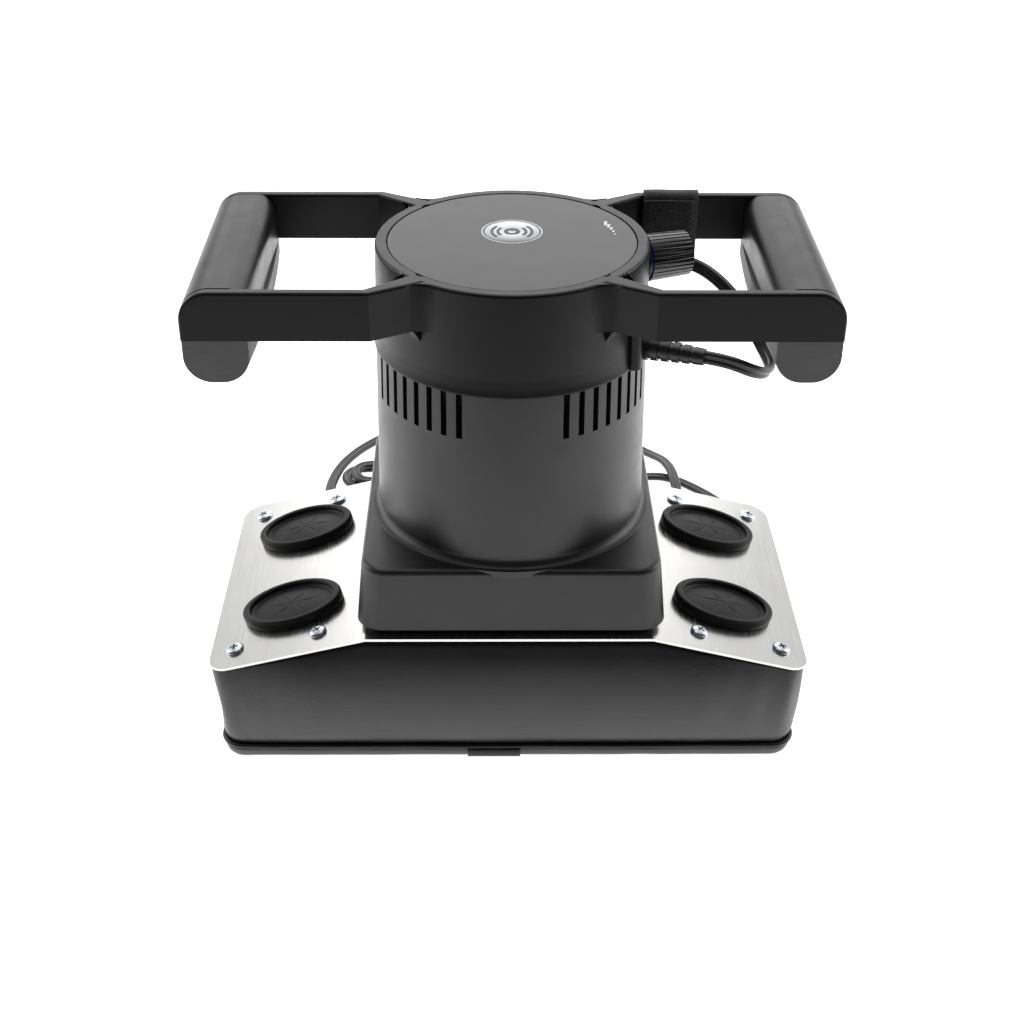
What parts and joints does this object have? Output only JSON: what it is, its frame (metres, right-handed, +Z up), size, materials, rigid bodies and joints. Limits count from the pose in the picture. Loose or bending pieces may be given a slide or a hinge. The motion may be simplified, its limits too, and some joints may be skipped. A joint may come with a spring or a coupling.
{
  "type": "orbital massager",
  "caption": "Two-handled orbital massager: motor tub between two grips drives a bent plate with a padded block in a small orbit; knob, slots, rubber grommets, cord tied in a hank.",
  "frame": {"origin": "on the surface it rests on, under the motor axis, within 2 mm of the middle of the body", "axes": "+X towards the right grip, along the length; +Y away from the front, across the width; +Z up along the motor axis"},
  "size_m": [0.3353, 0.4049, 0.2828],
  "materials": {
    "housing_plastic": "satin black moulded housing, fine texture",
    "cover_plastic": "satin-gloss black disc",
    "print_white": "pale grey printed ticks",
    "grip_plastic": "dark grey textured palm grip",
    "gasket_rubber": "matt black rubber",
    "plate_steel": "polished stainless sheet",
    "screw_zinc": "bright zinc-plated steel",
    "grommet_rubber": "smooth black rubber",
    "pad_vinyl": "black fine-creased vinyl",
    "webbing": "black woven webbing",
    "knob_plastic": "glossy black knob",
    "collar_blue": "dark blue ring",
    "cord_pvc": "satin black PVC",
    "brass": "plain brass",
    "steel": "machined steel",
    "lamination": "stacked steel laminations",
    "copper_winding": "enamelled copper wire",
    "carbon": "pressed carbon",
    "nylon": "natural nylon",
    "aluminium": "die-cast aluminium",
    "iron": "cast iron",
    "plywood": "moulded plywood",
    "foam": "polyurethane foam",
    "circuit": "green circuit board"
  },
  "bodies": {
    "housing": {"handle_frame": "housing_plastic", "top_cover": "cover_plastic", "speed_scale_marks": "print_white", "lower_grip_left": "grip_plastic", "lower_grip_right": "grip_plastic", "grip_screws": "screw_zinc", "motor_housing": "housing_plastic", "frame_screws": "steel", "base_plate": "steel", "base_screws": "steel", "guide_bushes": "gasket_rubber", "rubber_gasket": "gasket_rubber", "stator_core": "lamination", "stator_clamp_rings": "steel", "field_windings": "copper_winding", "bearing_bridge": "aluminium", "upper_bearing": "steel", "lower_bearing": "steel", "brush_holders": "brass", "carbon_brushes": "carbon", "knob_collar": "collar_blue", "speed_control": "steel", "control_nut": "steel", "control_board": "circuit", "board_components": "carbon", "strain_relief": "cord_pvc", "arm_strap": "webbing", "power_cord": "cord_pvc", "cord_hank": "cord_pvc", "cord_tie": "webbing", "plug_body": "cord_pvc", "plug_blades": "brass", "mains_lead": "cord_pvc", "field_lead": "cord_pvc"},
    "rotor": {"motor_shaft": "steel", "armature_core": "lamination", "armature_windings": "copper_winding", "cooling_fan": "nylon", "commutator": "brass", "eccentric_hub": "steel", "counterweight": "iron"},
    "pad": {"top_plate": "plate_steel", "grommets": "grommet_rubber", "plate_screws": "screw_zinc", "backing_board": "plywood", "foam_pad": "foam", "pad_cover": "pad_vinyl", "bottom_strap": "webbing", "pad_bottom_panel": "pad_vinyl", "pad_welt": "pad_vinyl", "bearing_cup": "aluminium", "eccentric_bearing": "steel", "guide_pins": "steel"},
    "knob": {"speed_knob": "knob_plastic", "control_shaft": "steel"}
  },
  "joints": [
    {"name": "rotor_spin", "type": "hinge", "parent": "housing", "child": "rotor", "pos_m": [0, 0, 0.2], "axis": [0, 0, 1], "continuous": true},
    {"name": "pad_orbit", "type": "hinge", "parent": "rotor", "child": "pad", "pos_m": [-0.0012, -0.001, 0.093], "axis": [0, 0, 1], "continuous": true},
    {"name": "speed_knob_turn", "type": "hinge", "parent": "housing", "child": "knob", "pos_m": [0.07228, 0.02349, 0.2605], "axis": [0.9511, 0.309, 0], "range_deg": [0, 270]}
  ],
  "couplings": [
    {"joint": "rotor_spin", "follows": "pad_orbit", "ratio": -1}
  ]
}
